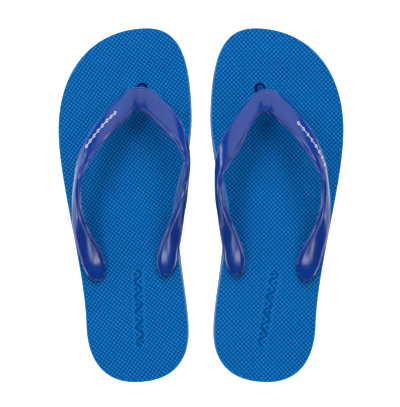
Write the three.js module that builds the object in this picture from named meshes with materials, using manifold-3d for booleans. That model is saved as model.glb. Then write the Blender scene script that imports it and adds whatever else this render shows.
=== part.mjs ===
// A pair of flip flops: each shoe is a textured footbed laminated on an outsole, with a moulded
// thong strap whose three plugs pass down through the sole.
// Millimetres, +X towards the right shoe, +Y towards the toes, +Z up, the floor at Z = 0.
import * as THREE from 'three';
import { mergeVertices } from 'three/addons/utils/BufferGeometryUtils.js';
import Module from 'manifold-3d';

const wasm = await Module();
wasm.setup();

// Driving dimensions of the pair.
const shoeSpacing = 56.5; // from the middle of the pair to each shoe's own axis
const toeOut = THREE.MathUtils.degToRad(1.85); // each shoe's toes point outwards
const pairShift = 0.5; // puts the middle of the pair's length at Y = 0

// Driving dimensions of the sole. Its top is a plane that drops a little towards the toes.
const topAtMiddle = 16.6;
const topSlope = -0.0106;
const footbedThickness = 4.5;
const glueGap = 0.3;
const wallFlare = 0.8; // how far the sole's foot stands out beyond the top of its wall
const seamFlare = 0.5;
const archLean = { most: 3.6, middle: 0, spread: 33 }; // how far the arch's wall leans in at its top
const seamLean = 0.73; // the share of that lean at the seam
const edgeRound = 1.2;
const outlineSteps = 13; // points on each stretch of the outline

// Driving dimensions of the strap.
const plateThickness = 1.3; // the thin rim on both edges of the band
const rimWidth = 0.9;
const bevelWidth = 1.5;
const bevelHeight = 3.8;
const crownHeight = 4.2;
const fullSectionWidth = 9; // a narrower band has a section scaled down in proportion
const strapSteps = 2; // sections between two stations of the band

// Driving dimensions of the plugs, which hold the strap in the sole.
const postRadius = 3.5;
const neckRadius = 4;
const buttonRadius = 7.5;
const buttonThickness = 3;
const buttonRecess = 1; // the button's face is this far above the floor
const plugClearance = 0.4; // between a plug and its hole
const roundSides = 24;
const postFoot = [-12.5, 93];
const postHead = [-11.3, 87.8];
const postStraight = 2; // how far the toe post stands upright above the footbed
const postRise = 14.8; // the height of its head above the footbed, inside the apex
const neckRise = 4; // the height of the other plugs' necks above the footbed
const anchors = [[28, -49.5], [-26, -49.5]];
const buttonMiddle = buttonRecess + buttonThickness / 2;
const drillBelow = -1; // the drills that cut the plugs' holes start below the floor
const drillAbove = 30; // and end above the footbed

// The outline of the right sole, clockwise from the tip of the toes: a point, the way that the
// outline runs there, and the lengths of its handles before and after the point.
const outlineKnots = [
  { at: [-16, 142], along: [1, 0], before: 29, after: 44 },
  { at: [56.5, 58], along: [0, -1], before: 50, after: 43 },
  { at: [39, -95], along: [0, -1], before: 46, after: 30 },
  { at: [-1, -142.5], along: [-1, 0], before: 26, after: 25 },
  { at: [-43.5, -101], along: [0, 1], before: 30, after: 24 },
  { at: [-38, -24], along: [0, 1], before: 28, after: 30 },
  { at: [-51.5, 73], along: [0, 1], before: 30, after: 44 },
];

// Stations of the right strap from the apex to the end of each arm. Each has the edge that faces
// the rim of the sole and the edge that faces the ankle, as X, Y and height above the footbed.
const apexStation = { rim: [-10.5, 92, 13], ankle: [-9, 73.3, 19] };
const outerArm = [
  { rim: [-7.2, 91.9, 13.3], ankle: [-6.8, 72.8, 19.3] },
  { rim: [-0.5, 90.2, 15.5], ankle: [-1.6, 69.2, 22] },
  { rim: [9.5, 81, 18.5], ankle: [6, 62, 25.5] },
  { rim: [18, 72.5, 21], ankle: [12.5, 55.5, 29] },
  { rim: [27, 60.5, 23.5], ankle: [19.5, 47.5, 32.5] },
  { rim: [34, 48.5, 25.5], ankle: [26, 39.5, 35.5] },
  { rim: [37.8, 36.5, 26.5], ankle: [31.5, 31.5, 37.5] },
  { rim: [39.8, 21, 25.5], ankle: [36.3, 21, 38] },
  { rim: [42.5, 4.5, 21.5], ankle: [37.3, 8, 33.5] },
  { rim: [45, -8.5, 16.5], ankle: [35.3, -7.5, 26] },
  { rim: [44.8, -22, 11], ankle: [30.5, -20.5, 17.5] },
  { rim: [42.6, -35, 6], ankle: [24.5, -33.5, 9.8] },
  { rim: [39.5, -47.5, 2], ankle: [21, -46, 4] },
  { rim: [36, -55, 0.9], ankle: [22, -54.5, 1.4] },
  { rim: [32, -59.8, 0.6], ankle: [25.5, -60, 0.6] },
];
const innerArm = [
  { rim: [-13.6, 91.5, 13.3], ankle: [-11.2, 72.8, 19.3] },
  { rim: [-19.7, 88, 15.5], ankle: [-15.7, 68.6, 22] },
  { rim: [-27.5, 79.5, 18.5], ankle: [-21.5, 61, 25.5] },
  { rim: [-35, 70, 21], ankle: [-27, 52.7, 29] },
  { rim: [-41.5, 58, 23.5], ankle: [-32.5, 45, 32.5] },
  { rim: [-44.6, 46, 25.5], ankle: [-37.8, 36, 35.5] },
  { rim: [-44.8, 33.5, 26.5], ankle: [-41.8, 26.5, 37.5] },
  { rim: [-44, 18, 25], ankle: [-41.7, 17, 37.5] },
  { rim: [-43.5, 2.5, 20.5], ankle: [-37.5, 4.5, 31.5] },
  { rim: [-42.7, -9, 15.8], ankle: [-32.5, -9, 24.5] },
  { rim: [-40.8, -22, 10.3], ankle: [-26.8, -22, 16.3] },
  { rim: [-38.2, -35, 5.6], ankle: [-21.5, -35, 9] },
  { rim: [-35.5, -47.5, 1.8], ankle: [-19.5, -47.5, 3.6] },
  { rim: [-32, -54, 0.9], ankle: [-20.7, -54, 1.3] },
  { rim: [-28.5, -57.8, 0.6], ankle: [-23.5, -58, 0.6] },
];

// The two straps lie a little differently: the right one is pushed outwards and back and the left
// one inwards and forwards, most at one place along Y and fading out on both sides of it.
const swayBack = 0.6; // the part of the sideways push that also goes along Y
const sway = {
  innerRim: { most: 3.2, middle: 70, spread: 27 },
  innerAnkle: { most: 5, middle: 42, spread: 28 },
  outerRim: { most: 1.7, middle: 93, spread: 40 },
  outerAnkle: { most: 1.6, middle: 74, spread: 32 },
};

const soleBlue = { color: 0x1466ac, roughness: 0.62, metalness: 0 };
const outsoleBlue = { color: 0x115a9b, roughness: 0.68, metalness: 0 };
const strapNavy = { color: 0x10307f, roughness: 0.2, metalness: 0 };

// Height of the footbed's surface.
function footbedTop(y) {
  return topAtMiddle + topSlope * y;
}

// The sole's outline as points, drawn in by the given distance and by a share of the arch's lean.
function soleOutline(inset, leanShare) {
  const path = new THREE.CurvePath();
  outlineKnots.forEach((knot, i) => {
    const next = outlineKnots[(i + 1) % outlineKnots.length];
    const start = new THREE.Vector2(...knot.at);
    const end = new THREE.Vector2(...next.at);
    const leaving = start.clone().addScaledVector(new THREE.Vector2(...knot.along), knot.after);
    const arriving = end.clone().addScaledVector(new THREE.Vector2(...next.along), -next.before);
    path.add(new THREE.CubicBezierCurve(start, leaving, arriving, end));
  });
  const points = [];
  for (const curve of path.curves) {
    for (let i = 0; i < outlineSteps; i += 1) {
      const tangent = curve.getTangent(i / outlineSteps);
      const inward = new THREE.Vector2(tangent.y, -tangent.x);
      const point = curve.getPoint(i / outlineSteps);
      const archSide = THREE.MathUtils.clamp(-point.x / 20, 0, 1);
      const lean = leanShare * archSide * swayAt(point.y, archLean);
      points.push(point.addScaledVector(inward, inset + lean));
    }
  }
  return points.reverse();
}

// A closed body from loops of the same number of points, capped over the flat shape of each end.
// The loops run anticlockwise as seen from the end of the body.
function loopBody(loops, startFlat, endFlat) {
  const count = loops[0].length;
  const positions = loops.flat().flatMap((point) => point.toArray());
  const triangles = [];
  for (let ring = 0; ring < loops.length - 1; ring += 1) {
    for (let i = 0; i < count; i += 1) {
      const a = ring * count + i;
      const b = ring * count + ((i + 1) % count);
      triangles.push(a, b, b + count, a, b + count, a + count);
    }
  }
  const last = (loops.length - 1) * count;
  THREE.ShapeUtils.triangulateShape(startFlat, []).forEach(([a, b, c]) => {
    triangles.push(c, b, a);
  });
  THREE.ShapeUtils.triangulateShape(endFlat, []).forEach(([a, b, c]) => {
    triangles.push(last + a, last + b, last + c);
  });
  const geometry = new THREE.BufferGeometry();
  geometry.setAttribute('position', new THREE.Float32BufferAttribute(positions, 3));
  geometry.setIndex(triangles);
  return geometry;
}

// A slab of the sole: each level is an inset of the outline, its share of the arch's lean and its
// height as a function of Y.
function slab(levels) {
  const flats = levels.map(({ inset, lean }) => soleOutline(inset, lean));
  const loops = levels.map(({ height }, i) =>
    flats[i].map((p) => new THREE.Vector3(p.x, p.y, height(p.y))));
  return loopBody(loops, flats[0], flats.at(-1));
}

function toSolid(geometry) {
  const bare = geometry.clone();
  bare.deleteAttribute('normal');
  bare.deleteAttribute('uv');
  const merged = mergeVertices(bare, 1e-4);
  const vertProperties = new Float32Array(merged.attributes.position.array);
  const triVerts = new Uint32Array(merged.index.array);
  return new wasm.Manifold(new wasm.Mesh({ numProp: 3, vertProperties, triVerts }));
}

function toGeometry(solid) {
  const mesh = solid.getMesh();
  const geometry = new THREE.BufferGeometry();
  geometry.setAttribute('position', new THREE.BufferAttribute(mesh.vertProperties, 3));
  geometry.setIndex(new THREE.BufferAttribute(mesh.triVerts, 1));
  return geometry;
}

// A round rod standing on Z, from one height to another.
function rod(radius, [x, y], from, to) {
  const geometry = new THREE.CylinderGeometry(radius, radius, to - from, roundSides);
  geometry.rotateX(Math.PI / 2);
  geometry.translate(x, y, (from + to) / 2);
  return toSolid(geometry);
}

// The three places where a plug passes through the sole, with the radius of its neck.
const plugs = [
  { at: postFoot, radius: postRadius },
  ...anchors.map((at) => ({ at, radius: neckRadius })),
];

function cutPlugHoles(solid) {
  return plugs.reduce(
    (cut, { at, radius }) => cut.subtract(rod(radius + plugClearance, at, drillBelow, drillAbove)),
    solid,
  );
}

// The footbed's upper edge is rounded.
function footbed() {
  const roundedEdge = [0, Math.PI / 4, Math.PI / 2].map((angle) => ({
    inset: wallFlare + edgeRound * (1 - Math.cos(angle)),
    lean: 1,
    height: (y) => footbedTop(y) - edgeRound * (1 - Math.sin(angle)),
  }));
  const underside = {
    inset: seamFlare,
    lean: seamLean,
    height: (y) => footbedTop(y) - footbedThickness,
  };
  const body = slab([underside, ...roundedEdge]);
  return toGeometry(cutPlugHoles(toSolid(body)));
}

// The outsole's underside has a counterbore for each plug's button.
function outsole() {
  const seam = (y) => footbedTop(y) - footbedThickness - glueGap;
  const ceiling = buttonRecess + buttonThickness + plugClearance;
  const body = slab([
    { inset: 0, lean: 0, height: () => 0 },
    { inset: seamFlare, lean: seamLean, height: seam },
  ]);
  const bored = cutPlugHoles(toSolid(body));
  const cut = plugs.reduce(
    (solid, { at }) => solid.subtract(rod(buttonRadius + plugClearance, at, drillBelow, ceiling)),
    bored,
  );
  return toGeometry(cut);
}

function swayAt(y, { most, middle, spread }) {
  return most * Math.exp(-(((y - middle) / spread) ** 2));
}

// One edge of the band as a smooth curve, from the inner arm's end round the apex to the outer's.
function bandEdge(edge, side) {
  const place = ([x, y, height], field) => {
    const push = side * swayAt(y, field);
    return new THREE.Vector3(x + push, y - push * swayBack, footbedTop(y) + height);
  };
  const innerField = edge === 'rim' ? sway.innerRim : sway.innerAnkle;
  const outerField = edge === 'rim' ? sway.outerRim : sway.outerAnkle;
  const points = [
    ...innerArm.map((station) => place(station[edge], innerField)).reverse(),
    place(apexStation[edge], outerField),
    ...outerArm.map((station) => place(station[edge], outerField)),
  ];
  return new THREE.CatmullRomCurve3(points, false, 'centripetal');
}

// The band's section, as distances across from the rim edge and heights above its underside.
function bandSection(width) {
  const scale = Math.min(1, width / fullSectionWidth);
  const rim = rimWidth * scale;
  const bevel = (rimWidth + bevelWidth) * scale;
  return [
    [0, 0],
    [width, 0],
    [width, plateThickness * scale],
    [width - rim, plateThickness * scale],
    [width - bevel, bevelHeight * scale],
    [width / 2, crownHeight * scale],
    [bevel, bevelHeight * scale],
    [rim, plateThickness * scale],
    [0, plateThickness * scale],
  ];
}

function band(side) {
  const rim = bandEdge('rim', side);
  const ankle = bandEdge('ankle', side);
  const sections = (innerArm.length + outerArm.length) * strapSteps;
  const loops = [];
  for (let i = 0; i <= sections; i += 1) {
    const t = i / sections;
    const start = rim.getPoint(t);
    const across = ankle.getPoint(t).sub(start);
    const width = across.length();
    across.normalize();
    const along = rim.getTangent(t).add(ankle.getTangent(t));
    const up = new THREE.Vector3().crossVectors(across, along).normalize();
    const loop = bandSection(width).map(([distance, height]) =>
      start.clone().addScaledVector(across, distance).addScaledVector(up, height));
    loops.push(loop.reverse());
  }
  const flat = bandSection(fullSectionWidth).map(([x, y]) => new THREE.Vector2(-x, y)).reverse();
  return toSolid(loopBody(loops, flat, flat));
}

// The toe post leans back from its hole into the strap's apex.
function toePost(side) {
  const lean = side * swayAt(postHead[1], sway.outerRim);
  const surface = footbedTop(postFoot[1]);
  const path = new THREE.CatmullRomCurve3([
    new THREE.Vector3(...postFoot, buttonMiddle),
    new THREE.Vector3(...postFoot, surface / 2),
    new THREE.Vector3(...postFoot, surface + postStraight),
    new THREE.Vector3(postHead[0] + lean, postHead[1], surface + postRise),
  ]);
  const round = new THREE.Shape().absarc(0, 0, postRadius, 0, 2 * Math.PI);
  const geometry = new THREE.ExtrudeGeometry(round, {
    steps: 12,
    curveSegments: roundSides / 2,
    bevelEnabled: false,
    extrudePath: path,
  });
  return toSolid(geometry);
}

function strap(side) {
  let solid = band(side).add(toePost(side));
  for (const at of anchors) {
    solid = solid.add(rod(neckRadius, at, buttonMiddle, footbedTop(at[1]) + neckRise));
  }
  for (const { at } of plugs) {
    solid = solid.add(rod(buttonRadius, at, buttonRecess, buttonRecess + buttonThickness));
  }
  return toGeometry(solid);
}

// A left shoe's piece is the right shoe's, mirrored, with its faces turned to point out again.
function mirrored(geometry) {
  const result = geometry.clone();
  result.scale(-1, 1, 1);
  const index = result.index.array;
  for (let i = 0; i < index.length; i += 3) {
    [index[i], index[i + 1]] = [index[i + 1], index[i]];
  }
  return result;
}

function piece(name, geometry, finish) {
  const flat = geometry.toNonIndexed();
  flat.computeVertexNormals();
  const mesh = new THREE.Mesh(flat, new THREE.MeshStandardMaterial(finish));
  mesh.name = name;
  return mesh;
}

function shoe(name, side) {
  const handed = (geometry) => (side > 0 ? geometry : mirrored(geometry));
  const group = new THREE.Group();
  group.add(
    piece(`${name}_footbed`, handed(footbed()), soleBlue),
    piece(`${name}_outsole`, handed(outsole()), outsoleBlue),
    piece(`${name}_strap`, handed(strap(side)), strapNavy),
  );
  group.position.set(side * shoeSpacing, pairShift, 0);
  group.rotation.z = -side * toeOut;
  return group;
}

const group = new THREE.Group();
group.add(shoe('left', -1), shoe('right', 1));

export default group;
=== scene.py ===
import math

import bmesh
import bpy
import numpy as np
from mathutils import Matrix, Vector
from mathutils.geometry import delaunay_2d_cdt
from mathutils.kdtree import KDTree


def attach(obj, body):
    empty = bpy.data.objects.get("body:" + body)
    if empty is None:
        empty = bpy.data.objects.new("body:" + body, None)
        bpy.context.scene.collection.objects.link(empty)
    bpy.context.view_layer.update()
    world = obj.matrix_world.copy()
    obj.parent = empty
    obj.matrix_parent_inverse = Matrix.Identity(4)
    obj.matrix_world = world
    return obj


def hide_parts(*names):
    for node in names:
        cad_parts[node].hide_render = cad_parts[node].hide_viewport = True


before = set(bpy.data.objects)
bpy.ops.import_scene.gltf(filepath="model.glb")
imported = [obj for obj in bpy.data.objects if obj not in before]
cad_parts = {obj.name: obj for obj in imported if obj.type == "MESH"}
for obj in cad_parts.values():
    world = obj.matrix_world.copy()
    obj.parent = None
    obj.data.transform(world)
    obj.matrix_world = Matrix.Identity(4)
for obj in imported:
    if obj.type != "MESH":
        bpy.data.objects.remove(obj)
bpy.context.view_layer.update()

INSIDE_OUTER_RING = 1  # what the triangulation keeps
MM = 0.001  # all lengths below are in millimetres, and become metres when a mesh is made
WELD_DISTANCE = 0.002

# ---------------------------------------------------------------- driving dimensions of the pair
SHOE_SPACING = 56.5  # from the middle of the pair to each shoe's own axis
TOE_OUT = math.radians(1.85)
PAIR_SHIFT = 0.5
SIDES = {"left": -1, "right": 1}

TOP_AT_MIDDLE = 16.6  # the footbed's height at Y = 0
TOP_SLOPE = -0.0106
FOOTBED_THICKNESS = 4.5
WALL_FLARE = 0.8  # how far the sole's foot stands out beyond the top of its wall
SEAM_FLARE = 0.5
ARCH_LEAN = (4.4, 0, 33)  # how far the arch's wall leans in at its top: the most, where, how widely
ARCH_FADE = 20.0  # the lean grows to its full amount over this distance from the sole's axis
SEAM_LEAN = 0.73  # the share of that lean at the seam
EDGE_ROUND = 0.8  # the radius of the footbed's upper edge
HEEL_ROUND = 0.7  # the radius of the outsole's lower edge
SEAM_CHAMFER = 0.18
SEAM_GAP = 0.02

# The right sole's outline, clockwise from the tip of the toes: a point, the way that the outline
# runs there, and the lengths of its handles before and after the point.
OUTLINE_KNOTS = [
    ((-16, 142), (1, 0), 29, 44),
    ((56.5, 58), (0, -1), 50, 43),
    ((39, -95), (0, -1), 46, 30),
    ((-1, -142.5), (-1, 0), 26, 25),
    ((-43.5, -101), (0, 1), 30, 24),
    ((-38, -24), (0, 1), 28, 30),
    ((-51.5, 73), (0, 1), 30, 44),
]
CURVE_STEPS = 200  # points on the curve between two knots, before it is spaced evenly
OUTLINE_POINTS = 840

# The footbed's grain is a lattice of raised diamonds. Its turn is in the pair's frame.
DIAMOND_WIDTH = 3.5
DIAMOND_LENGTH = 3.6
GRAIN_HEIGHT = 0.55
GRAIN_SAMPLES = 4  # mesh points along each side of a diamond
GRAIN_TURN = {"left": math.radians(9.2), "right": math.radians(-1.1)}
GRAIN_MARGIN = 0.3  # mesh points keep this distance from the edges of the flat top
GRAIN_FADE = 0.35  # the grain reaches its full height over this distance
GRAIN_BLUNTNESS = 0.6  # an exponent: the lower, the broader the diamonds' tops
PLAIN = 0.6  # how far up the grain's height plain surfaces lie, where 0 is the grooves

# The pressed ornament on each heel, a wave with dots in its hollows.
MARK_CENTRE = {"left": (-49.6, -82.0), "right": (53.6, -82.0)}
MARK_TURN = {"left": math.radians(2.0), "right": math.radians(-10.6)}
MARK_LENGTH = 60.0
MARK_WIDTH = 10.5
MARK_WAVES = 5
MARK_SWING = 2.6
MARK_STROKE = 1.5
MARK_DOT = 1.15
MARK_DEPTH = 1.0
MARK_MESH = 0.36
MARK_PAINTED_SHADE = 0.4  # how much darker in colour its strokes are, painted shade on the scale of the grain's height
MARK_BORDER = 1.5  # fine mesh reaches this far past its ends
MARK_DOT_PLACE = 0.75  # how far out its dots lie, as a share of the wave's swing

# The underside's wavy grooves.
TREAD_PITCH = 9.0
TREAD_WAVE = 26.0
TREAD_SWING = 2.2
TREAD_WIDTH = 1.6
TREAD_WALL = 0.45
TREAD_DEPTH = 1.2
TREAD_STEP = 1.3
TREAD_MARGIN = 5.0

# Plugs and their holes.
POST_FOOT = (-12.5, 93.0)
POST_HEAD = (-11.3, 87.8)
POST_RISE = 15.0
POST_TIP = math.radians(18)  # the lean of the post's head into the band
ANCHORS = [(28.0, -49.5), (-26.0, -49.5)]
POST_RADIUS = 3.0
NECK_RADIUS = 4.0
BUTTON_RADIUS = 7.5
BUTTON_THICKNESS = 3.0
BUTTON_RECESS = 1.0
PLUG_CLEARANCE = 0.4
POST_HOLE_RADIUS = 4.3
HOLE_ROUND = 0.5
HOLE_PAINTED_SHADE = -0.5  # on the scale of the grain's height: painted shade for the dark inside of the plugs' holes
POCKET_RADIUS = 7.9
POCKET_DEPTH = 4.4

# Stations of the right strap from the apex to the end of each arm: the edge that faces the rim of
# the sole, then the edge that faces the ankle, as X, Y and height above the footbed.
APEX = ((-10.5, 92, 13), (-9, 73.3, 19))
OUTER_ARM = [
    ((-7.2, 91.9, 13.3), (-6.8, 72.8, 19.3)),
    ((-0.5, 90.2, 15.5), (-1.6, 69.2, 22)),
    ((9.5, 81, 18.5), (6, 62, 25.5)),
    ((18, 72.5, 21), (12.5, 55.5, 29)),
    ((27, 60.5, 23.5), (19.5, 47.5, 32.5)),
    ((34, 48.5, 25.5), (26, 39.5, 35.5)),
    ((37.8, 36.5, 26.5), (31.5, 31.5, 37.5)),
    ((39.8, 21, 25.5), (36.3, 21, 38)),
    ((42.5, 4.5, 21.5), (37.3, 8, 33.5)),
    ((45, -8.5, 16.5), (35.3, -7.5, 26)),
    ((44.8, -22, 11), (30.5, -20.5, 17.5)),
    ((42.6, -35, 6), (24.5, -33.5, 9.8)),
    ((39.5, -47.5, 2), (21, -46, 4)),
    ((36, -55, 0.9), (22, -54.5, 1.4)),
    ((32, -59.3, 0.6), (25.5, -59.3, 0.6)),
    ((29.4, -60.6, 0.6), (28.2, -60.6, 0.6)),
]
INNER_ARM = [
    ((-13.6, 91.5, 13.3), (-11.2, 72.8, 19.3)),
    ((-19.7, 88, 15.5), (-15.7, 68.6, 22)),
    ((-27.5, 79.5, 18.5), (-21.5, 61, 25.5)),
    ((-35, 70, 21), (-27, 52.7, 29)),
    ((-41.5, 58, 23.5), (-32.5, 45, 32.5)),
    ((-44.6, 46, 25.5), (-37.8, 36, 35.5)),
    ((-44.8, 33.5, 26.5), (-41.8, 26.5, 37.5)),
    ((-44, 18, 25), (-41.7, 17, 37.5)),
    ((-43.5, 2.5, 20.5), (-38.7, 4.5, 31.5)),
    ((-42.7, -9, 15.8), (-33.2, -9, 24.5)),
    ((-40.8, -22, 10.3), (-26.8, -22, 16.3)),
    ((-38.2, -35, 5.6), (-21.5, -35, 9)),
    ((-35.5, -47.5, 1.8), (-19.5, -47.5, 3.6)),
    ((-32, -54, 0.9), (-20.7, -54, 1.3)),
    ((-28.7, -57.4, 0.6), (-23.3, -57.4, 0.6)),
    ((-26.6, -58.4, 0.6), (-25.4, -58.4, 0.6)),
]

# The right strap is pushed outwards and back and the left one inwards and forwards, most at one
# place along Y and fading out on both sides of it: the most, where, and how widely.
SWAY_BACK = 0.6
SWAY = {
    "inner": ((3.2, 70, 27), (5.0, 42, 24)),
    "outer": ((1.7, 93, 40), (1.6, 74, 32)),
}

# The ornament printed on the outer arm: lozenges with dots between them. It runs between two
# places that are counted in stations from the apex.
PRINT_SPAN = {"left": (3.2, 6.05), "right": (4.0, 7.3)}
PRINT_SHARE = 0.45  # across the band from its rim edge
PRINT_COUNT = 8
PRINT_LOZENGE = (1.7, 1.6)  # half of its length and width
PRINT_STROKE = 0.7  # how far a lozenge's inner corners lie in from its outer ones
PRINT_DOT = 0.55
PRINT_LIFT = 0.06

STATION_STEPS = 10  # mesh sections between two stations of the strap
FULL_SECTION_WIDTH = 9.0  # a narrower band has a section scaled down in proportion
THIN_HEIGHT = 0.4  # the share of its height that the section keeps where the band has no width
# Half of the band's section: distance in from its edge and height above its underside.
RIM_PROFILE = [
    (0.35, 0.0), (0.1, 0.1), (0.0, 0.35), (0.0, 0.95), (0.1, 1.2), (0.35, 1.3), (0.72, 1.32),
    (0.9, 1.42), (1.05, 1.68), (1.3, 2.16), (1.55, 2.62), (1.75, 2.92), (2.1, 3.24), (2.5, 3.56),
    (2.85, 3.79), (3.2, 3.9), (3.6, 3.95),
]
RIM_TOP = 1.33  # heights above this are the bevel's and the face's
CROWN_HEIGHT = 4.2
SOFT_STATIONS = (3.2, 6.0)  # counted from an arm's end: no bevel up to the first, full at the second
CROWN_STEPS = 9
UNDERSIDE_STEPS = 5


# ---------------------------------------------------------------- placing in the pair's frame
def footbed_top(y):
    return TOP_AT_MIDDLE + TOP_SLOPE * y


def to_pair(points, side):
    """Turns points of the right shoe's own frame into the pair's frame, mirrored on the left."""
    points = np.asarray(points, float)
    placed = points.copy()
    turn = -side * TOE_OUT
    x = points[:, 0] * side
    y = points[:, 1]
    placed[:, 0] = x * math.cos(turn) - y * math.sin(turn) + side * SHOE_SPACING
    placed[:, 1] = x * math.sin(turn) + y * math.cos(turn) + PAIR_SHIFT
    return placed


def own_y(points, side):
    """The Y of points of the pair's frame along their own shoe's axis."""
    turn = side * TOE_OUT
    x = points[:, 0] - side * SHOE_SPACING
    y = points[:, 1] - PAIR_SHIFT
    return x * math.sin(turn) + y * math.cos(turn)


# ---------------------------------------------------------------- meshes
class Shell:
    """Collects the points and faces of one closed body, and how far each point is raised, a value that
    also carries the footbed's painted shade.
    """

    def __init__(self):
        self.points = []
        self.raised = []
        self.faces = []

    def add_points(self, points, raised=None):
        start = len(self.points)
        self.points.extend(map(tuple, points))
        self.raised.extend([PLAIN] * len(points) if raised is None else raised)
        return list(range(start, len(self.points)))

    def bridge(self, first, second):
        count = len(first)
        for i in range(count):
            j = (i + 1) % count
            self.faces.append((first[i], first[j], second[j], second[i]))

    def rings(self, loops, raised=PLAIN):
        indices = [
            self.add_points(loop, [value] * len(loop))
            for loop, value in zip(loops, np.broadcast_to(raised, len(loops)))
        ]
        for first, second in zip(indices, indices[1:]):
            self.bridge(first, second)
        return indices

    def fill(self, outer, holes=(), inside=()):
        """Fills a level stretch inside a ring and round its holes, through the given points."""
        rings = [outer, *holes]
        order = [i for ring in rings for i in ring] + list(inside)
        flat = [Vector(self.points[i][:2]) for i in order]
        faces, origins = delaunay_2d_cdt(flat, ring_edges(rings), [], INSIDE_OUTER_RING, 1e-5)[2:4]
        hole_of = {i: number for number, hole in enumerate(holes) for i in hole}
        for face in faces:
            corners = tuple(order[origins[i][0]] for i in face)
            touched = {hole_of.get(i) for i in corners}
            if len(touched) > 1 or None in touched:  # not a face across one of the holes
                self.faces.append(corners)

    def build(self, name, materials, smooth_angle=40.0):
        mesh = bpy.data.meshes.new(name)
        mesh.from_pydata([Vector(p) * MM for p in self.points], [], self.faces)
        raised = mesh.attributes.new("raised", "FLOAT", "POINT")
        raised.data.foreach_set("value", np.array(self.raised, np.float32))
        return finish_mesh(name, mesh, materials, smooth_angle)


def finish_mesh(name, mesh, materials, smooth_angle=40.0):
    edit = bmesh.new()
    edit.from_mesh(mesh)
    bmesh.ops.remove_doubles(edit, verts=edit.verts, dist=WELD_DISTANCE * MM)
    bmesh.ops.recalc_face_normals(edit, faces=edit.faces)
    limit = math.radians(smooth_angle)
    for edge in edit.edges:
        edge.smooth = len(edge.link_faces) == 2 and edge.calc_face_angle() < limit
    for face in edit.faces:
        face.smooth = True
    edit.to_mesh(mesh)
    edit.free()
    for material in materials:
        mesh.materials.append(material)
    piece = bpy.data.objects.new(name, mesh)
    bpy.context.scene.collection.objects.link(piece)
    return piece


def ring_edges(rings):
    edges = []
    start = 0
    for ring in rings:
        count = len(ring)
        edges.extend((start + i, start + (i + 1) % count) for i in range(count))
        start += count
    return edges


def depth_inside(points, ring):
    """How far inside a ring of close points each point is, negative outside it."""
    tree = KDTree(len(ring))
    for i, (x, y) in enumerate(ring):
        tree.insert((x, y, 0), i)
    tree.balance()
    nearest = np.array([tree.find((x, y, 0))[1] for x, y in points])
    tangent = np.roll(ring, -1, axis=0) - np.roll(ring, 1, axis=0)
    tangent /= np.linalg.norm(tangent, axis=1)[:, None]
    gap = points - ring[nearest]
    turn = tangent[nearest]
    ahead = np.roll(ring, -1, axis=0)
    way = np.sign((ring[:, 0] * ahead[:, 1] - ring[:, 1] * ahead[:, 0]).sum())
    return way * (turn[:, 0] * gap[:, 1] - turn[:, 1] * gap[:, 0])


def circle(centre, radius, steps=32):
    angles = np.arange(steps) * 2 * math.pi / steps
    return np.stack([centre[0] + radius * np.cos(angles), centre[1] + radius * np.sin(angles)], axis=1)


# ---------------------------------------------------------------- the sole
def sway_at(y, field):
    most, middle, spread = field
    return most * np.exp(-(((y - middle) / spread) ** 2))


def sole_outline(inset, lean):
    """The right sole's outline in its own frame, evenly spaced.

    It is drawn in by a distance and by a share of the arch's lean.
    """
    t = np.linspace(0, 1, CURVE_STEPS, endpoint=False)[:, None]
    path = []
    for knot, following in zip(OUTLINE_KNOTS, OUTLINE_KNOTS[1:] + OUTLINE_KNOTS[:1]):
        start, end = np.array(knot[0], float), np.array(following[0], float)
        leaving = start + np.array(knot[1]) * knot[3]
        arriving = end - np.array(following[1]) * following[2]
        path.append(
            (1 - t) ** 3 * start + 3 * (1 - t) ** 2 * t * leaving
            + 3 * (1 - t) * t ** 2 * arriving + t ** 3 * end
        )
    path = np.vstack(path)
    closed = np.vstack([path, path[:1]])
    along = np.concatenate([[0], np.cumsum(np.linalg.norm(np.diff(closed, axis=0), axis=1))])
    even = np.linspace(0, along[-1], OUTLINE_POINTS, endpoint=False)
    points = np.stack([np.interp(even, along, closed[:, axis]) for axis in range(2)], axis=1)
    tangent = np.roll(points, -1, axis=0) - np.roll(points, 1, axis=0)
    tangent /= np.linalg.norm(tangent, axis=1)[:, None]
    inward = np.stack([tangent[:, 1], -tangent[:, 0]], axis=1)
    arch_side = np.clip(-points[:, 0] / ARCH_FADE, 0, 1)
    distance = inset + lean * arch_side * sway_at(points[:, 1], ARCH_LEAN)
    return points + inward * distance[:, None]


def level(flat, height):
    return np.column_stack([flat, np.broadcast_to(height, len(flat))])


def sole_ring(side, inset, lean, height):
    """A ring round the sole at an inset, with its height as a function of the shoe's own Y."""
    own = sole_outline(inset, lean)
    return to_pair(level(own, height(own[:, 1])), side)


def soft_step(value):
    value = np.clip(value, 0, 1)
    return value * value * (3 - 2 * value)


def grain(points, name):
    """Height of the diamond grain, from 0 in its grooves to 1 on its flat tops."""
    turn = GRAIN_TURN[name]
    x = points[:, 0] * math.cos(turn) + points[:, 1] * math.sin(turn)
    y = -points[:, 0] * math.sin(turn) + points[:, 1] * math.cos(turn)
    rise = x / DIAMOND_WIDTH + y / DIAMOND_LENGTH
    fall = x / DIAMOND_WIDTH - y / DIAMOND_LENGTH
    return (np.abs(np.sin(math.pi * rise)) * np.abs(np.sin(math.pi * fall))) ** GRAIN_BLUNTNESS


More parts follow.
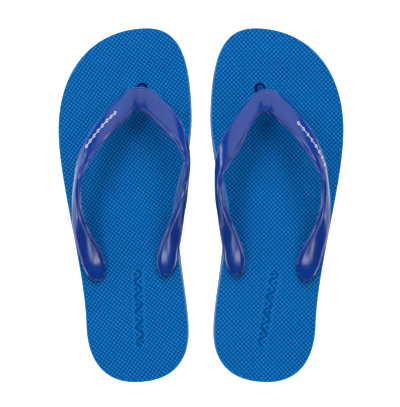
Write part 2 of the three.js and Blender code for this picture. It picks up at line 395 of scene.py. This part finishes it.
def grain_points(name, low, high):
    """Mesh points that follow the grain's grooves and tops over a rectangle."""
    reach = float(np.linalg.norm(high - low)) / 2
    middle = (low + high) / 2
    steps = int(reach / min(DIAMOND_WIDTH, DIAMOND_LENGTH) * 2) * GRAIN_SAMPLES
    index = np.arange(-steps, steps + 1) / GRAIN_SAMPLES
    turn = GRAIN_TURN[name]
    across = middle[0] * math.cos(turn) + middle[1] * math.sin(turn)
    along = -middle[0] * math.sin(turn) + middle[1] * math.cos(turn)
    rise = index[:, None] + round(across / DIAMOND_WIDTH + along / DIAMOND_LENGTH)
    fall = index[None, :] + round(across / DIAMOND_WIDTH - along / DIAMOND_LENGTH)
    x = ((rise + fall) / 2 * DIAMOND_WIDTH).ravel()
    y = ((rise - fall) / 2 * DIAMOND_LENGTH).ravel()
    return np.stack([x * math.cos(turn) - y * math.sin(turn),
                     x * math.sin(turn) + y * math.cos(turn)], axis=1)


def mark_place(points, name):
    """Points of the pair's frame along and across the heel's ornament."""
    turn = MARK_TURN[name]
    x = points[:, 0] - MARK_CENTRE[name][0]
    y = points[:, 1] - MARK_CENTRE[name][1]
    along = -x * math.sin(turn) + y * math.cos(turn)
    across = x * math.cos(turn) + y * math.sin(turn)
    return along, across


def mark_press(points, name):
    """How deeply the ornament presses each point, from 0 to 1."""
    along, across = mark_place(points, name)
    pace = 2 * math.pi * MARK_WAVES / MARK_LENGTH
    swing = MARK_SWING * np.sin(pace * along)
    slope = MARK_SWING * pace * np.cos(pace * along)
    off_wave = np.abs(across - swing) / np.sqrt(1 + slope ** 2)
    off_end = np.maximum(np.abs(along) - MARK_LENGTH / 2, 0)
    stroke = MARK_STROKE / 2 - np.hypot(off_wave, off_end)
    half_wave = MARK_LENGTH / MARK_WAVES / 2
    hollow = (np.floor(along / half_wave) + 0.5) * half_wave
    hollow = np.clip(hollow, -MARK_LENGTH / 2 + half_wave / 2, MARK_LENGTH / 2 - half_wave / 2)
    dot_across = -np.sign(np.sin(pace * hollow)) * MARK_SWING * MARK_DOT_PLACE
    dot = MARK_DOT - np.hypot(along - hollow, across - dot_across)
    return soft_step(np.maximum(stroke, dot) / MARK_MESH + 0.5)


def mark_grid(name):
    half_length = MARK_LENGTH / 2 + MARK_BORDER
    half_width = MARK_WIDTH / 2
    along = np.arange(-half_length, half_length, MARK_MESH)
    across = np.arange(-half_width, half_width, MARK_MESH)
    along, across = (grid.ravel() for grid in np.meshgrid(along, across))
    turn = MARK_TURN[name]
    x = across * math.cos(turn) - along * math.sin(turn)
    y = across * math.sin(turn) + along * math.cos(turn)
    return np.stack([x, y], axis=1) + np.array(MARK_CENTRE[name])


def in_mark_area(points, name, margin):
    along, across = mark_place(points, name)
    half_length = MARK_LENGTH / 2 + MARK_BORDER
    return (np.abs(along) < half_length + margin) & (np.abs(across) < MARK_WIDTH / 2 + margin)


def plug_holes(side):
    """Each plug's hole in the pair's frame: its centre and radius."""
    centres = to_pair([POST_FOOT, *ANCHORS], side)
    radii = [POST_HOLE_RADIUS] + [NECK_RADIUS + PLUG_CLEARANCE] * len(ANCHORS)
    return list(zip(centres, radii))


def make_footbed(name, side, materials):
    shell = Shell()

    def underside(y):
        return footbed_top(y) - FOOTBED_THICKNESS

    loops = [
        sole_ring(side, SEAM_FLARE + SEAM_CHAMFER, SEAM_LEAN, underside),
        sole_ring(side, SEAM_FLARE, SEAM_LEAN, lambda y: underside(y) + SEAM_CHAMFER),
    ]
    for angle in np.linspace(0, math.pi / 2, 6):
        drop = EDGE_ROUND * (1 - math.sin(angle))
        loops.append(sole_ring(
            side,
            WALL_FLARE + EDGE_ROUND * (1 - math.cos(angle)),
            1,
            lambda y, drop=drop: footbed_top(y) - drop,
        ))
    rings = shell.rings(loops)

    hole_rims, hole_feet = [], []
    for centre, radius in plug_holes(side):
        surface = footbed_top(own_y(centre[None, :], side)[0])
        loops = []
        for angle in (math.pi / 2, math.pi / 4, 0):
            spread = radius + HOLE_ROUND * (1 - math.cos(angle))
            loops.append(level(circle(centre, spread), surface - HOLE_ROUND * (1 - math.sin(angle))))
        loops.append(level(circle(centre, radius), surface - FOOTBED_THICKNESS))
        # painted shade: the holes' lower walls get a value that colours them near black
        hole = shell.rings(loops, [PLAIN, PLAIN, HOLE_PAINTED_SHADE, HOLE_PAINTED_SHADE])
        hole_rims.append(hole[0])
        hole_feet.append(hole[-1])

    outline = np.array([shell.points[i][:2] for i in rings[-1]])
    flat = grain_points(name, outline.min(axis=0), outline.max(axis=0))
    flat = flat[~in_mark_area(flat, name, GRAIN_MARGIN)]
    flat = np.vstack([flat, mark_grid(name)])
    depth = depth_inside(flat, outline)
    clear = depth > GRAIN_MARGIN
    for centre, radius in plug_holes(side):
        reach = np.linalg.norm(flat - centre, axis=1) - radius - HOLE_ROUND
        clear &= reach > GRAIN_MARGIN
    flat, depth = flat[clear], depth[clear]
    press = mark_press(flat, name) * in_mark_area(flat, name, 0)
    fade = soft_step((depth - GRAIN_MARGIN) / GRAIN_FADE) * (1 - press)
    raised = PLAIN + (grain(flat, name) - PLAIN) * fade
    heights = footbed_top(own_y(flat, side)) + GRAIN_HEIGHT * (raised - PLAIN) - MARK_DEPTH * press
    # The value stored with each point sets the footbed's colour: painted shade in the grooves, holes and
    # ornament.
    surface = shell.add_points(np.column_stack([flat, heights]), raised - MARK_PAINTED_SHADE * press)
    shell.fill(rings[-1], hole_rims, surface)
    shell.fill(rings[0], hole_feet)
    return shell.build(f"{name}_footbed_grained", materials)


def tread_points(side, outline):
    """Points of the underside, with wavy grooves that stop short of its edge and of the plugs."""
    low, high = outline.min(axis=0), outline.max(axis=0)
    x = np.arange(low[0], high[0], TREAD_STEP)
    lines = np.arange(low[1], high[1] + TREAD_PITCH, TREAD_PITCH)
    half, wall = TREAD_WIDTH / 2, TREAD_WALL
    profile = [(-half - wall, 0.0), (-half, 1.0), (half, 1.0), (half + wall, 0.0)]
    flat, cut = [], []
    for line in lines:
        wave = TREAD_SWING * np.sin(2 * math.pi * side * x / TREAD_WAVE)
        for offset, share in profile:
            flat.append(np.column_stack([x, line + wave + offset]))
            cut.append(np.full(len(x), share))
    flat, cut = np.vstack(flat), np.concatenate(cut)
    depth = depth_inside(flat, outline)
    for centre in to_pair([POST_FOOT, *ANCHORS], side):
        depth = np.minimum(depth, np.linalg.norm(flat - centre, axis=1) - POCKET_RADIUS)
    kept = depth > TREAD_MARGIN / 2
    share = soft_step((depth[kept] - TREAD_MARGIN) / TREAD_WALL / 2)
    return np.column_stack([flat[kept], TREAD_DEPTH * cut[kept] * share])


def make_outsole(name, side, materials):
    shell = Shell()

    def seam(y):
        return footbed_top(y) - FOOTBED_THICKNESS - SEAM_GAP

    loops = []
    for angle in np.linspace(0, math.pi / 2, 4):
        rise = HEEL_ROUND * (1 - math.sin(angle))
        loops.insert(0, sole_ring(
            side, HEEL_ROUND * (1 - math.cos(angle)), 0, lambda y, rise=rise: np.full(len(y), rise)))
    loops.append(sole_ring(side, SEAM_FLARE, SEAM_LEAN, lambda y: seam(y) - SEAM_CHAMFER))
    loops.append(sole_ring(side, SEAM_FLARE + SEAM_CHAMFER, SEAM_LEAN, seam))
    rings = shell.rings(loops)

    pocket_rims, hole_rims = [], []
    for centre, radius in plug_holes(side):
        pocket = shell.rings([
            level(circle(centre, POCKET_RADIUS), 0),
            level(circle(centre, POCKET_RADIUS), POCKET_DEPTH),
            level(circle(centre, radius), POCKET_DEPTH),
            level(circle(centre, radius), seam(own_y(centre[None, :], side)[0])),
        ])
        pocket_rims.append(pocket[0])
        hole_rims.append(pocket[-1])
    outline = np.array([shell.points[i][:2] for i in rings[0]])
    shell.fill(rings[0], pocket_rims, shell.add_points(tread_points(side, outline)))
    shell.fill(rings[-1], hole_rims)
    return shell.build(f"{name}_outsole_treaded", materials)


# ---------------------------------------------------------------- the strap
def rail_point(points, t):
    """A point on the centripetal curve through the given points, with t from 0 to 1."""
    last = len(points) - 1
    place = min(t * last, last - 1e-9)
    i = int(place)
    before = points[i - 1] if i > 0 else 2 * points[0] - points[1]
    start, end = points[i], points[i + 1]
    after = points[i + 2] if i + 2 <= last else 2 * points[last] - points[last - 1]
    knots = [max(np.linalg.norm(b - a), 1e-4) ** 0.5
             for a, b in ((before, start), (start, end), (end, after))]
    leave = (start - before) / knots[0] - (end - before) / (knots[0] + knots[1])
    leave = (leave + (end - start) / knots[1]) * knots[1]
    arrive = (end - start) / knots[1] - (after - start) / (knots[1] + knots[2])
    arrive = (arrive + (after - end) / knots[2]) * knots[1]
    w = place - i
    return (start + leave * w + (-3 * start + 3 * end - 2 * leave - arrive) * w ** 2
            + (2 * start - 2 * end + leave + arrive) * w ** 3)


class Band:
    """The strap's band between its two edges, as a surface to sweep the section along."""

    def __init__(self, side):
        self.rails = [self.rail(edge, side) for edge in (0, 1)]
        self.apex = len(INNER_ARM)
        self.last = len(INNER_ARM) + len(OUTER_ARM)

    @staticmethod
    def rail(edge, side):
        def place(station, arm):
            x, y, height = station[edge]
            push = side * sway_at(y, SWAY[arm][edge])
            return np.array([x + push, y - push * SWAY_BACK, footbed_top(y) + height])

        inner = [place(station, "inner") for station in reversed(INNER_ARM)]
        outer = [place(station, "outer") for station in [APEX, *OUTER_ARM]]
        return inner + outer

    def frame(self, station):
        """Start, width, and unit vectors across and up at a place counted in stations."""
        t = station / self.last
        step = 1e-4
        rim, ankle = (rail_point(rail, t) for rail in self.rails)
        along = sum(
            rail_point(rail, min(t + step, 1)) - rail_point(rail, max(t - step, 0))
            for rail in self.rails
        )
        across = ankle - rim
        width = np.linalg.norm(across)
        across /= width
        up = np.cross(across, along)
        return rim, width, across, up / np.linalg.norm(up)

    def point(self, station, share, lift):
        """A point of the face, with share from 0 at the rim edge to 1 at the ankle edge."""
        rim, width, across, up = self.frame(station)
        return rim + across * width * share + up * (face_height(width, share) + lift)


def softened(distance, height, width, rise, rim_top):
    """The height in place of the bevel's where the band's face is one smooth round swell."""
    if height <= rim_top:
        return height
    return rim_top + (rise - rim_top) * math.sqrt(1 - (1 - 2 * distance / width) ** 2)


def section(width, softness=0.0):
    """The band's section: distances across from the rim edge and heights, anticlockwise."""
    scale = min(1.0, width / FULL_SECTION_WIDTH)
    upright = THIN_HEIGHT + (1 - THIN_HEIGHT) * scale
    half = [(d * scale, h * upright) for d, h in RIM_PROFILE]
    rise = CROWN_HEIGHT * upright
    half = [(d, h + softness * (softened(d, h, width, rise, RIM_TOP * upright) - h))
            for d, h in half]
    (edge, shoulder) = half[-1]
    crown = []
    for i in range(1, CROWN_STEPS):
        share = 2 * i / CROWN_STEPS - 1
        crown.append((width / 2 - share * (width / 2 - edge),
                      shoulder + (rise - shoulder) * (1 - share ** 2)))
    near = [(width - d, h) for d, h in half]
    far = [(d, h) for d, h in reversed(half)]
    first, last = half[0][0], width - half[0][0]
    under = [(first + (last - first) * i / UNDERSIDE_STEPS, 0.0) for i in range(1, UNDERSIDE_STEPS)]
    return near + crown + far + under


def face_height(width, share):
    profile = sorted(point for point in section(width) if point[1] > 0.5)
    return float(np.interp(width * share, [p[0] for p in profile], [p[1] for p in profile]))


def lathe(shell, centres, radii, side, steps=28, axes=None):
    """Adds a round body whose rings have the given centres and radii, capped at both ends."""
    loops = []
    for i, (centre, radius) in enumerate(zip(centres, radii)):
        across, along = axes[i] if axes else (np.array([1.0, 0, 0]), np.array([0, 1.0, 0]))
        angles = np.arange(steps) * 2 * math.pi / steps
        loops.append(np.array(centre)[None, :] + radius * (
            np.cos(angles)[:, None] * across + np.sin(angles)[:, None] * along))
    rings = shell.rings([to_pair(loop, side) for loop in loops])
    shell.faces.append(tuple(reversed(rings[0])))
    shell.faces.append(tuple(rings[-1]))


def make_band(name, side):
    band = Band(side)
    shell = Shell()
    loops = []
    for i in range(band.last * STATION_STEPS + 1):
        station = i / STATION_STEPS
        rim, width, across, up = band.frame(station)
        from_end = min(station, band.last - station)
        softness = float(np.interp(from_end, SOFT_STATIONS, (1.0, 0.0)))
        outline = section(width, softness)
        loops.append(to_pair([rim + across * d + up * h for d, h in outline], side))
    rings = shell.rings(loops)
    shell.faces.append(tuple(reversed(rings[0])))
    shell.faces.append(tuple(rings[-1]))
    return shell.build(f"{name}_band", [])


def make_post(name, side):
    """The toe post: straight in its hole, then curving back into the underside of the band."""
    surface = footbed_top(POST_FOOT[1])
    lean = side * sway_at(POST_HEAD[1], SWAY["outer"][0])
    foot = np.array([*POST_FOOT, surface])
    head = np.array([POST_HEAD[0] + lean, POST_HEAD[1], surface + POST_RISE])
    centres = [np.array([*POST_FOOT, z]) for z in (BUTTON_RECESS + 1.5, surface * 0.5, surface - 1)]
    tips = [0.0] * len(centres)
    for share in np.linspace(0, 1, 13):
        slide = soft_step(share)
        centres.append(foot + (head - foot) * np.array([slide, slide, share]))
        tips.append(POST_TIP * share ** 2)
    axes = [(np.array([1.0, 0, 0]), np.array([0, math.cos(tip), -math.sin(tip)])) for tip in tips]
    shell = Shell()
    lathe(shell, centres, [POST_RADIUS] * len(centres), side, axes=axes)
    return shell.build(f"{name}_post", [])


def make_neck(name, side, at):
    surface = footbed_top(at[1])
    shell = Shell()
    heights = [BUTTON_RECESS + BUTTON_THICKNESS / 2, surface, surface + 1.2, surface + 3.4]
    radii = [NECK_RADIUS, NECK_RADIUS, NECK_RADIUS + 0.4, NECK_RADIUS + 1.5]
    lathe(shell, [(*at, z) for z in heights], radii, side)
    return shell.build(f"{name}_neck", [])


def make_button(name, side, at):
    """A button with rounded edges and a shallow dimple in its face."""
    low, high = BUTTON_RECESS, BUTTON_RECESS + BUTTON_THICKNESS
    profile = [
        (0.6, low + 0.8), (2.2, low + 0.6), (3.0, low), (BUTTON_RADIUS - 0.8, low),
        (BUTTON_RADIUS - 0.25, low + 0.25), (BUTTON_RADIUS, low + 0.8),
        (BUTTON_RADIUS, high - 0.5), (BUTTON_RADIUS - 0.5, high),
    ]
    shell = Shell()
    lathe(shell, [(*at, z) for _, z in profile], [r for r, _ in profile], side)
    return shell.build(f"{name}_button", [])


def join_solids(pieces, name, materials, smooth_angle=35.0):
    """Unites closed bodies into one and deletes the bodies they were made from."""
    target = pieces[0]
    for other in pieces[1:]:
        modifier = target.modifiers.new("unite", "BOOLEAN")
        modifier.operation = "UNION"
        modifier.solver = "EXACT"
        modifier.object = other
    graph = bpy.context.evaluated_depsgraph_get()
    mesh = bpy.data.meshes.new_from_object(target.evaluated_get(graph))
    for piece in pieces:
        bpy.data.objects.remove(piece)
    mesh.name = name
    mesh.materials.clear()
    return finish_mesh(name, mesh, materials, smooth_angle)


def make_strap(name, side, materials):
    pieces = [make_band(name, side), make_post(name, side)]
    pieces += [make_neck(name, side, at) for at in ANCHORS]
    pieces += [make_button(name, side, at) for at in (POST_FOOT, *ANCHORS)]
    return join_solids(pieces, f"{name}_strap_moulded", materials)


def add_motif(shell, place, outer, inner):
    """Adds a printed shape between two outlines, or inside one, with thin walls down to the band."""
    loops = [[place(u, v, -PRINT_LIFT) for u, v in outer], [place(u, v, PRINT_LIFT) for u, v in outer]]
    if inner is None:
        rings = shell.rings(loops)
        shell.faces.append(tuple(rings[-1]))
        shell.faces.append(tuple(reversed(rings[0])))
        return
    loops += [[place(u, v, PRINT_LIFT) for u, v in inner], [place(u, v, -PRINT_LIFT) for u, v in inner]]
    rings = shell.rings(loops)
    shell.bridge(rings[-1], rings[0])


def lozenge(half_length, half_width, steps=4):
    corners = [(half_length, 0), (0, half_width), (-half_length, 0), (0, -half_width)]
    points = []
    for (x0, y0), (x1, y1) in zip(corners, corners[1:] + corners[:1]):
        points.extend((x0 + (x1 - x0) * i / steps, y0 + (y1 - y0) * i / steps) for i in range(steps))
    return points


def make_print(name, side, materials):
    band = Band(side)
    start, end = (band.apex + station for station in PRINT_SPAN[name])
    stretch = to_pair([band.point(start, PRINT_SHARE, 0), band.point(end, PRINT_SHARE, 0)], side)
    per_mm = (end - start) / np.linalg.norm(stretch[1] - stretch[0])
    shell = Shell()
    for i in range(2 * PRINT_COUNT - 1):
        middle = start + (end - start) * (i + 0.5) / (2 * PRINT_COUNT - 1)

        def place(u, v, lift, middle=middle):
            width = band.frame(middle)[1]
            point = band.point(middle + u * per_mm, PRINT_SHARE + v / width, lift)
            return to_pair([point], side)[0]

        if i % 2:
            add_motif(shell, place, circle((0, 0), PRINT_DOT, 12), None)
        else:
            inner = [size - PRINT_STROKE for size in PRINT_LOZENGE]
            add_motif(shell, place, lozenge(*PRINT_LOZENGE), lozenge(*inner))
    return shell.build(f"{name}_strap_print", materials)


# ---------------------------------------------------------------- materials
def new_material(name, colour, roughness, **sockets):
    material = bpy.data.materials.new(name)
    material.use_nodes = True
    shader = material.node_tree.nodes["Principled BSDF"]
    shader.inputs["Base Color"].default_value = (*colour, 1)
    shader.inputs["Roughness"].default_value = roughness
    for socket, value in sockets.items():
        shader.inputs[socket.replace("_", " ")].default_value = value
    return material, material.node_tree, shader


def add_node(tree, kind, **values):
    node = tree.nodes.new(kind)
    for key, value in values.items():
        if key in node.inputs:
            node.inputs[key].default_value = value
        else:
            setattr(node, key, value)
    return node


def noise(tree, scale, detail=3.0):
    node = add_node(tree, "ShaderNodeTexNoise", Scale=scale, Detail=detail, Roughness=0.55)
    coordinates = add_node(tree, "ShaderNodeTexCoord")
    tree.links.new(coordinates.outputs["Object"], node.inputs["Vector"])
    return node.outputs["Fac"]


def ramp(tree, source, stops):
    node = tree.nodes.new("ShaderNodeValToRGB")
    elements = node.color_ramp.elements
    for element, (position, colour) in zip(elements, stops[:2]):
        element.position, element.color = position, (*colour, 1)
    for position, colour in stops[2:]:
        element = elements.new(position)
        element.color = (*colour, 1)
    tree.links.new(source, node.inputs["Fac"])
    return node.outputs["Color"]


def value_range(tree, source, low, high, start=0.0, end=1.0):
    node = add_node(tree, "ShaderNodeMapRange")
    node.inputs["From Min"].default_value = start
    node.inputs["From Max"].default_value = end
    node.inputs["To Min"].default_value = low
    node.inputs["To Max"].default_value = high
    tree.links.new(source, node.inputs["Value"])
    return node.outputs["Result"]


def add_bump(tree, shader, source, strength, distance):
    bump = add_node(tree, "ShaderNodeBump", Strength=strength, Distance=distance)
    tree.links.new(source, bump.inputs["Height"])
    tree.links.new(bump.outputs["Normal"], shader.inputs["Normal"])


def add_attribute(tree, name):
    node = add_node(tree, "ShaderNodeAttribute", attribute_name=name)
    return node.outputs["Fac"]


def multiply_colours(tree, first, second):
    node = add_node(tree, "ShaderNodeMix", data_type="RGBA", blend_type="MULTIPLY")
    node.inputs["Factor"].default_value = 1
    tree.links.new(first, node.inputs["A"])
    tree.links.new(second, node.inputs["B"])
    return node.outputs["Result"]


def footbed_material():
    """Matt foam rubber, glossy on its tops, with painted shade: its colour darkens down the grain's
    grooves, into the plugs' holes and in the heel's pressed ornament, and lightens on the grain's tops.
    """
    material, tree, shader = new_material("footbed_rubber", (0.001, 0.15, 0.46), 0.25)
    raised = add_attribute(tree, "raised")
    tree.links.new(
        value_range(tree, raised, 0.02, 0.35, PLAIN, 1.0), shader.inputs["Specular IOR Level"])
    # painted shade and light: this ramp turns the raised value into darker colour in grooves and holes
    # and lighter colour on the grain's tops
    depth = ramp(tree, value_range(tree, raised, 0, 1, HOLE_PAINTED_SHADE, 1.0), [
        (0.0, (0.0003, 0.010, 0.050)), (0.36, (0.0005, 0.058, 0.240)),
        (0.74, (0.0010, 0.156, 0.505)), (1.0, (0.0025, 0.255, 0.67))])
    clouds = ramp(tree, noise(tree, 38), [(0.3, (0.9, 0.92, 0.93)), (0.7, (1, 1, 1))])
    tree.links.new(multiply_colours(tree, depth, clouds), shader.inputs["Base Color"])
    tree.links.new(value_range(tree, noise(tree, 700), 0.2, 0.3), shader.inputs["Roughness"])
    add_bump(tree, shader, noise(tree, 2400, 4.0), 0.15, 0.0002)
    return material


def outsole_material():
    material, tree, shader = new_material(
        "outsole_rubber", (0.001, 0.12, 0.38), 0.5, Specular_IOR_Level=0.05)
    clouds = ramp(tree, noise(tree, 50), [
        (0.3, (0.0008, 0.100, 0.330)), (0.7, (0.0010, 0.122, 0.380))])
    tree.links.new(clouds, shader.inputs["Base Color"])
    tree.links.new(value_range(tree, noise(tree, 900), 0.42, 0.6), shader.inputs["Roughness"])
    add_bump(tree, shader, noise(tree, 2600, 4.0), 0.25, 0.0002)
    return material


def print_material():
    material, tree, shader = new_material("print_white", (0.8, 0.8, 0.8), 0.4)
    tree.links.new(
        ramp(tree, noise(tree, 500), [(0.3, (0.72, 0.73, 0.75)), (0.7, (0.84, 0.84, 0.85))]),
        shader.inputs["Base Color"])
    tree.links.new(value_range(tree, noise(tree, 900), 0.3, 0.5), shader.inputs["Roughness"])
    return material


def strap_material():
    dark, light = (0.0006, 0.030, 0.235), (0.0010, 0.040, 0.285)
    material, tree, shader = new_material("strap_pvc", light, 0.14)
    tree.links.new(ramp(tree, noise(tree, 45), [(0.3, dark), (0.7, light)]), shader.inputs["Base Color"])
    tree.links.new(value_range(tree, noise(tree, 140), 0.14, 0.19), shader.inputs["Roughness"])
    add_bump(tree, shader, noise(tree, 320, 2.0), 0.03, 0.0002)
    return material


def stage_material():
    material, tree, shader = new_material("stage_white", (0.86, 0.86, 0.86), 0.9)
    tree.links.new(
        ramp(tree, noise(tree, 3), [(0.3, (0.85, 0.85, 0.85)), (0.7, (0.88, 0.88, 0.88))]),
        shader.inputs["Base Color"])
    shader.inputs["Emission Color"].default_value = (1, 1, 1, 1)
    shader.inputs["Emission Strength"].default_value = 0.8
    return material


# ---------------------------------------------------------------- camera, lights and floor
CAMERA_HEIGHT = 1.6
CAMERA_PLACE = (-0.0008, 0.0017)
FRAME_WIDTH = 0.320  # what the picture's width covers at the middle of the soles' height
FRAME_PLANE = 0.015
LIGHT_DISTANCE = 1.7
WORLD_COLOUR = (0.9, 0.95, 1.0, 1)
WORLD_STRENGTH = 0.08
FLOOR_HALF = 3.0
FLOOR_HEIGHT = -0.0002


def make_camera():
    data = bpy.data.cameras.new("camera")
    data.sensor_width = 36
    data.sensor_fit = "HORIZONTAL"
    data.lens = data.sensor_width * (CAMERA_HEIGHT - FRAME_PLANE) / FRAME_WIDTH
    camera = bpy.data.objects.new("camera", data)
    camera.location = (*CAMERA_PLACE, CAMERA_HEIGHT)
    bpy.context.scene.collection.objects.link(camera)
    bpy.context.scene.camera = camera


def make_softbox(name, azimuth, tilt, size, radiance, glossy=True, diffuse=True):
    """A rectangle of light aimed at the pair, placed by its angles round from +X and from above.

    Without glossy it doesn't show in reflections, and without diffuse it shows only in them.
    """
    azimuth, tilt = math.radians(azimuth), math.radians(tilt)
    place = LIGHT_DISTANCE * Vector((
        math.sin(tilt) * math.cos(azimuth), math.sin(tilt) * math.sin(azimuth), math.cos(tilt)))
    data = bpy.data.lights.new(name, "AREA")
    data.shape = "RECTANGLE"
    data.size, data.size_y = size
    data.energy = radiance * math.pi * size[0] * size[1]
    light = bpy.data.objects.new(name, data)
    light.location = place
    light.rotation_euler = place.to_track_quat("Z", "Y").to_euler()
    light.visible_camera = False
    light.visible_glossy = glossy
    light.visible_diffuse = diffuse
    bpy.context.scene.collection.objects.link(light)


def make_lights():
    make_softbox("front_fill", 90, 46, (1.6, 1.0), 3.2, glossy=False)
    make_softbox("front_panel", 92, 46, (1.7, 0.72), 1.2)
    make_softbox("front_low", 92, 66, (0.95, 0.42), 3.5)
    make_softbox("left_box", 165, 31, (0.85, 0.45), 4.6)
    make_softbox("right_box", 8, 36, (0.76, 0.54), 3.0)
    make_softbox("low_left", 180, 77, (0.9, 0.54), 4.5)
    make_softbox("low_right", 0, 77, (0.9, 0.54), 2)
    make_softbox("back_fill", 270, 56, (0.66, 0.44), 9, glossy=False)
    make_softbox("back_wide", 270, 56, (1.1, 0.5), 4.5, diffuse=False)
    make_softbox("back_tall", 270, 56, (0.6, 0.85), 7, diffuse=False)
    make_softbox("left_strip", 150, 74, (0.5, 0.5), 7, diffuse=False)
    make_softbox("right_strip", 28, 70, (0.5, 0.5), 7, diffuse=False)
    make_softbox("left_glint", 208, 79, (0.5, 0.6), 8, diffuse=False)
    make_softbox("right_glint", -28, 79, (0.5, 0.6), 8, diffuse=False)


def make_world():
    world = bpy.data.worlds.new("studio")
    bpy.context.scene.world = world
    world.use_nodes = True
    background = world.node_tree.nodes["Background"]
    background.inputs["Color"].default_value = WORLD_COLOUR
    background.inputs["Strength"].default_value = WORLD_STRENGTH


def make_floor():
    mesh = bpy.data.meshes.new("floor")
    corners = [(-1, -1), (1, -1), (1, 1), (-1, 1)]
    points = [(x * FLOOR_HALF, y * FLOOR_HALF, FLOOR_HEIGHT) for x, y in corners]
    mesh.from_pydata(points, [], [(0, 1, 2, 3)])
    mesh.materials.append(stage_material())
    floor = bpy.data.objects.new("floor", mesh)
    bpy.context.scene.collection.objects.link(floor)


bpy.context.scene.view_settings.view_transform = "Standard"
make_camera()
make_world()
make_floor()
make_lights()

footbed_rubber = footbed_material()
outsole_rubber = outsole_material()
strap_pvc = strap_material()
print_white = print_material()

for name, side in SIDES.items():
    body = f"{name}_shoe"
    footbed = make_footbed(name, side, [footbed_rubber])
    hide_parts(f"{name}_footbed")
    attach(footbed, body)
    outsole = make_outsole(name, side, [outsole_rubber])
    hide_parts(f"{name}_outsole")
    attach(outsole, body)
    strap = make_strap(name, side, [strap_pvc])
    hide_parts(f"{name}_strap")
    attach(strap, body)
    ornament = make_print(name, side, [print_white])
    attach(ornament, body)
